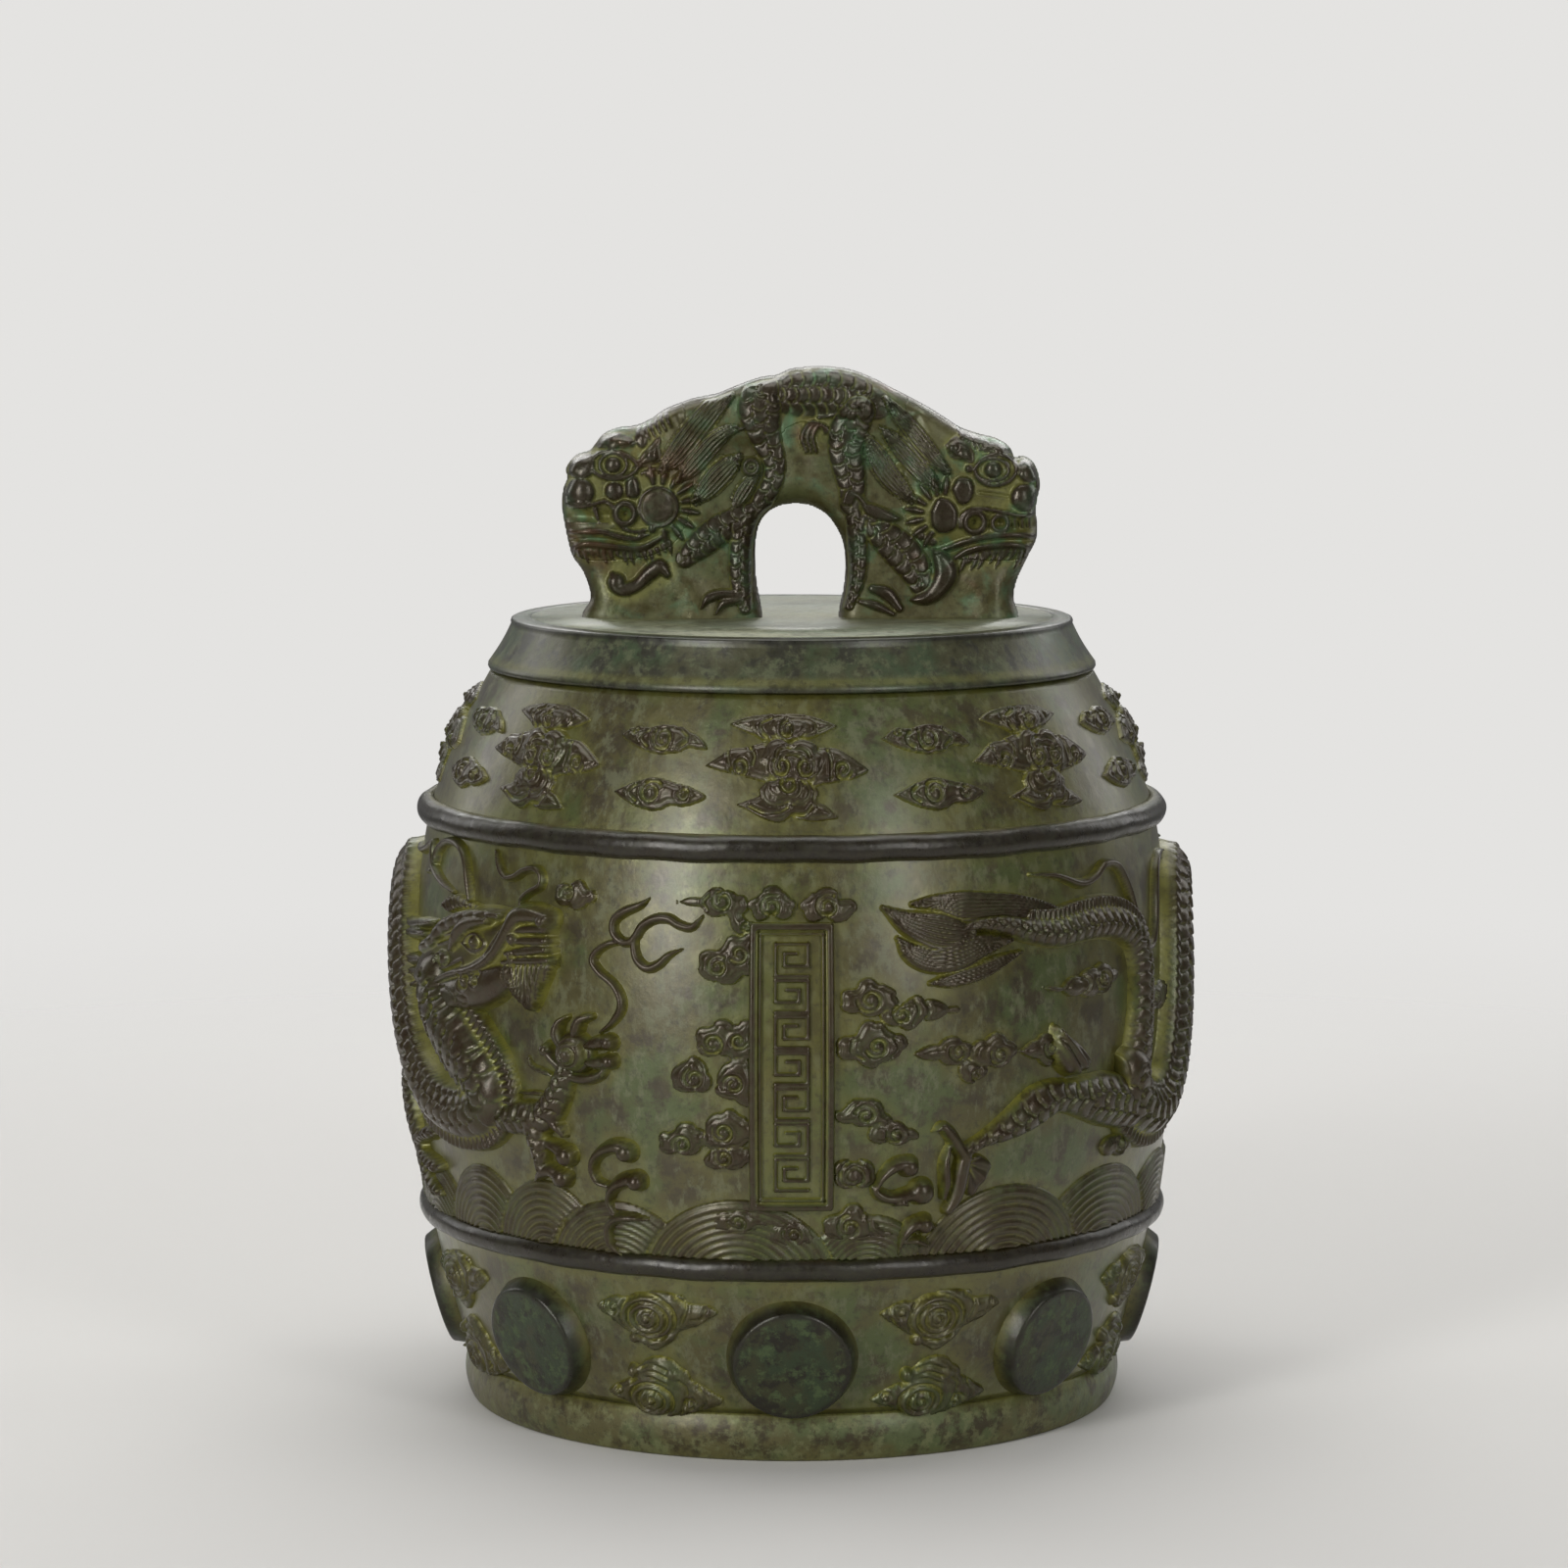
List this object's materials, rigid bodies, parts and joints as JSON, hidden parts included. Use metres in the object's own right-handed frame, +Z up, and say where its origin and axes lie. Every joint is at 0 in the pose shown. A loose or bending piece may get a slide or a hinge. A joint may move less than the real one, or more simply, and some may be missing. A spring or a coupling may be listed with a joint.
{
  "type": "bronze court bell",
  "caption": "Barrel-shaped hanging bell of cast bronze with relief dragons, clouds and waves, round strike bosses, and a two-headed dragon loop on its crown.",
  "frame": {"origin": "centre of the mouth, on the surface that the bell stands on", "axes": "+Z up the bell's axis to the loop; -Y the front with the cartouche; +X to the right seen from the front, along the loop"},
  "size_m": [0.2432, 0.234, 0.3096],
  "materials": {
    "field_bronze": "matt green-brown patina over cast bronze",
    "relief_bronze": "dark brown patina, worn smooth on high points",
    "ring_bronze": "dark brown patina, soft sheen",
    "crown_bronze": "dark patina, smooth",
    "boss_bronze": "dark green-brown patina, smooth",
    "loop_bronze": "brown patina with green corrosion"
  },
  "bodies": {
    "root": {"base_clouds": "relief_bronze", "bell_wall": "field_bronze", "cartouche_clouds_back": "relief_bronze", "cartouche_clouds_front": "relief_bronze", "cartouche_field_back": "field_bronze", "cartouche_field_front": "field_bronze", "cartouche_frame_back": "ring_bronze", "cartouche_frame_front": "ring_bronze", "crown_plate": "crown_bronze", "left_dragon_body": "relief_bronze", "left_dragon_flame": "relief_bronze", "left_dragon_forelegs": "relief_bronze", "left_dragon_head": "relief_bronze", "left_dragon_hindlegs": "relief_bronze", "left_dragon_pearl": "relief_bronze", "left_dragon_tail": "relief_bronze", "left_dragon_tail_fin": "relief_bronze", "left_dragon_whiskers": "relief_bronze", "loop_back": "loop_bronze", "loop_left_forelegs": "loop_bronze", "loop_left_head": "loop_bronze", "loop_left_mane": "loop_bronze", "loop_plinth": "loop_bronze", "loop_right_forelegs": "loop_bronze", "loop_right_head": "loop_bronze", "loop_right_mane": "loop_bronze", "lower_moulding": "ring_bronze", "mouth_rim": "ring_bronze", "right_dragon_body": "relief_bronze", "right_dragon_flame": "relief_bronze", "right_dragon_forelegs": "relief_bronze", "right_dragon_head": "relief_bronze", "right_dragon_hindlegs": "relief_bronze", "right_dragon_pearl": "relief_bronze", "right_dragon_tail": "relief_bronze", "right_dragon_tail_fin": "relief_bronze", "right_dragon_whiskers": "relief_bronze", "sea_spray_back": "relief_bronze", "sea_spray_front": "relief_bronze", "shoulder_cloud_1": "relief_bronze", "shoulder_cloud_2": "relief_bronze", "shoulder_cloud_3": "relief_bronze", "shoulder_cloud_4": "relief_bronze", "shoulder_cloud_5": "relief_bronze", "shoulder_cloud_6": "relief_bronze", "shoulder_cloud_7": "relief_bronze", "shoulder_cloud_8": "relief_bronze", "shoulder_collar": "crown_bronze", "shoulder_small_clouds": "relief_bronze", "strike_boss_1": "boss_bronze", "strike_boss_2": "boss_bronze", "strike_boss_3": "boss_bronze", "strike_boss_4": "boss_bronze", "strike_boss_5": "boss_bronze", "strike_boss_6": "boss_bronze", "strike_boss_7": "boss_bronze", "strike_boss_8": "boss_bronze", "upper_moulding": "ring_bronze", "wave_band_back": "relief_bronze", "wave_band_front": "relief_bronze"}
  },
  "joints": []
}
